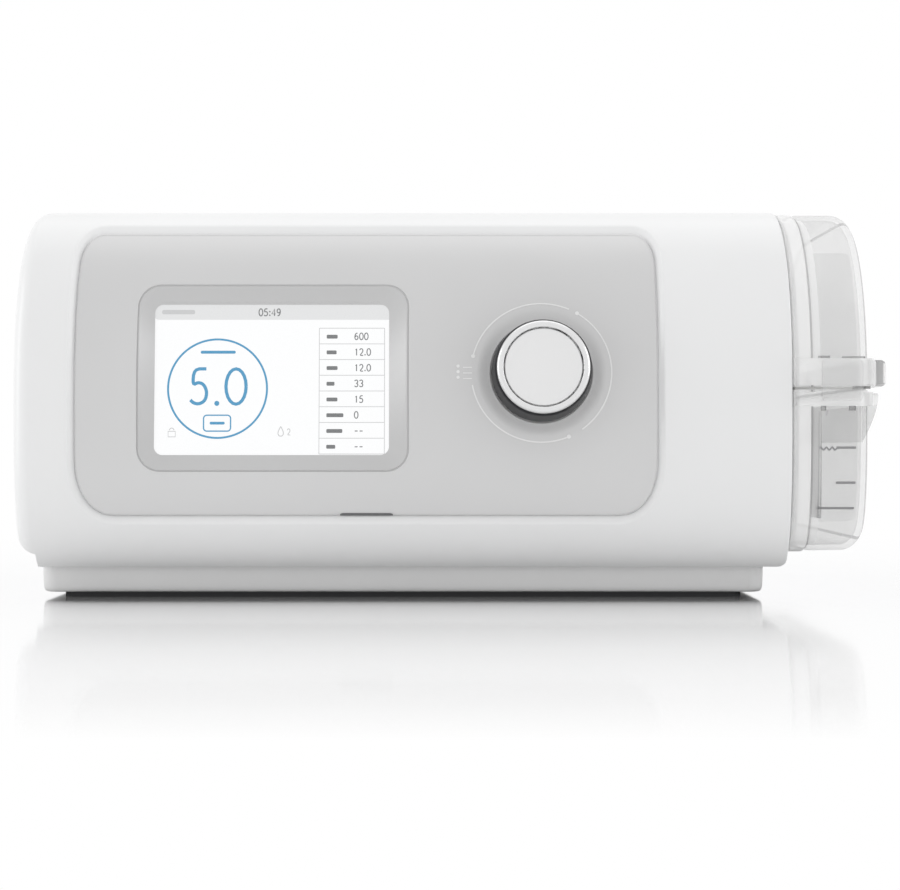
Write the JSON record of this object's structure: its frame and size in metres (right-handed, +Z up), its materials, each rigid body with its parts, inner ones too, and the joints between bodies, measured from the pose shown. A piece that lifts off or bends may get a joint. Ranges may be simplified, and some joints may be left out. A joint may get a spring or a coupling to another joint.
{
  "type": "bilevel pap machine",
  "caption": "Bedside bilevel airway-pressure machine with a colour display, a turn-and-press knob, a start button, a quiet blower and a clear humidifier tank that slides out of its right end.",
  "frame": {"origin": "middle of the whole machine's base, on the desk", "axes": "+X to the viewer's right towards the water tank, -Y out of the front panel, +Z up"},
  "size_m": [0.2746, 0.1786, 0.123],
  "materials": {
    "housing_white": "satin",
    "tray_grey": "satin",
    "foot_rubber": "matt",
    "steel": "satin",
    "panel_grey": "satin",
    "window_glass": "polished",
    "gasket_black": "matt",
    "screen_white": "polished",
    "board_green": "satin",
    "encoder_grey": "matt",
    "rotor_brass": "satin",
    "knob_black": "polished",
    "knob_chrome": "polished",
    "knob_grey": "satin",
    "button_white": "satin",
    "cover_grey": "satin",
    "filter_white": "fibrous",
    "duct_grey": "matt",
    "foam_dark": "open foam",
    "seal_grey": "matt",
    "blower_grey": "satin",
    "impeller_white": "satin",
    "motor_metal": "satin",
    "dock_grey": "satin",
    "heater_metal": "brushed",
    "pad_orange": "matt",
    "port_white": "satin",
    "socket_black": "satin",
    "tank_clear": "polished",
    "lid_clear": "polished"
  },
  "bodies": {
    "machine": {"front_housing": "housing_white", "rear_housing": "housing_white", "base_tray": "tray_grey", "feet": "foot_rubber", "case_screws": "steel", "front_panel": "panel_grey", "display_window": "window_glass", "lcd_gasket": "gasket_black", "lcd_module": "screen_white", "control_board": "board_green", "board_screws": "steel", "encoder_body": "encoder_grey", "encoder_nut": "steel", "button_board": "board_green", "button_switch": "encoder_grey", "muffler_box": "duct_grey", "muffler_cover": "duct_grey", "muffler_foam": "foam_dark", "inlet_seal": "seal_grey", "volute_lower": "blower_grey", "volute_upper": "blower_grey", "blower_motor": "motor_metal", "blower_mounts": "foot_rubber", "outlet_bellows": "seal_grey", "dock_bay": "dock_grey", "dock_seal": "seal_grey", "heater_plate": "heater_metal", "heater_pad": "pad_orange", "return_elbow": "seal_grey", "outlet_port": "port_white", "power_board": "board_green", "dc_inlet": "socket_black", "data_port": "steel"},
    "rotor": {"encoder_rotor": "rotor_brass"},
    "knob": {"knob_shaft": "steel", "knob_skirt": "knob_black", "knob_ring": "knob_chrome", "knob_cap": "knob_grey"},
    "start": {"start_button": "button_white"},
    "blower_wheel": {"impeller": "impeller_white", "motor_shaft": "steel"},
    "intake_cover": {"filter_cover": "cover_grey", "intake_filter": "filter_white"},
    "tank": {"tank_tub": "tank_clear", "tank_chamber": "tank_clear", "tank_plate": "heater_metal", "hinge_pin": "steel"},
    "lid": {"tank_lid": "lid_clear", "lid_seal": "seal_grey", "lid_clip": "lid_clear"}
  },
  "joints": [
    {"name": "knob_turn", "type": "hinge", "parent": "machine", "child": "rotor", "pos_m": [0.02935, -0.07282, 0.0696], "axis": [0, -0.9976, 0.0698], "continuous": true},
    {"name": "knob_press", "type": "slide", "parent": "rotor", "child": "knob", "axis": [0, 0.9976, -0.0698], "range_m": [0, 0.0008], "stiffness_N_per_m": 1500, "springref_m": -0.001},
    {"name": "start_press", "type": "slide", "parent": "machine", "child": "start", "axis": [0, 0, -1], "range_m": [0, 0.0007], "stiffness_N_per_m": 1200, "springref_m": -0.0009},
    {"name": "impeller_spin", "type": "hinge", "parent": "machine", "child": "blower_wheel", "pos_m": [-0.04325, 0.00378, 0.077], "axis": [0, 0, 1], "continuous": true},
    {"name": "intake_cover_pull", "type": "slide", "parent": "machine", "child": "intake_cover", "axis": [-1, 0, 0], "range_m": [0, 0.02]},
    {"name": "tank_pull", "type": "slide", "parent": "machine", "child": "tank", "axis": [1, 0, 0], "range_m": [0, 0.08]},
    {"name": "lid_open", "type": "hinge", "parent": "tank", "child": "lid", "pos_m": [0.11675, 0.07598, 0.065], "axis": [-1, 0, 0], "range_deg": [0, 100]}
  ]
}
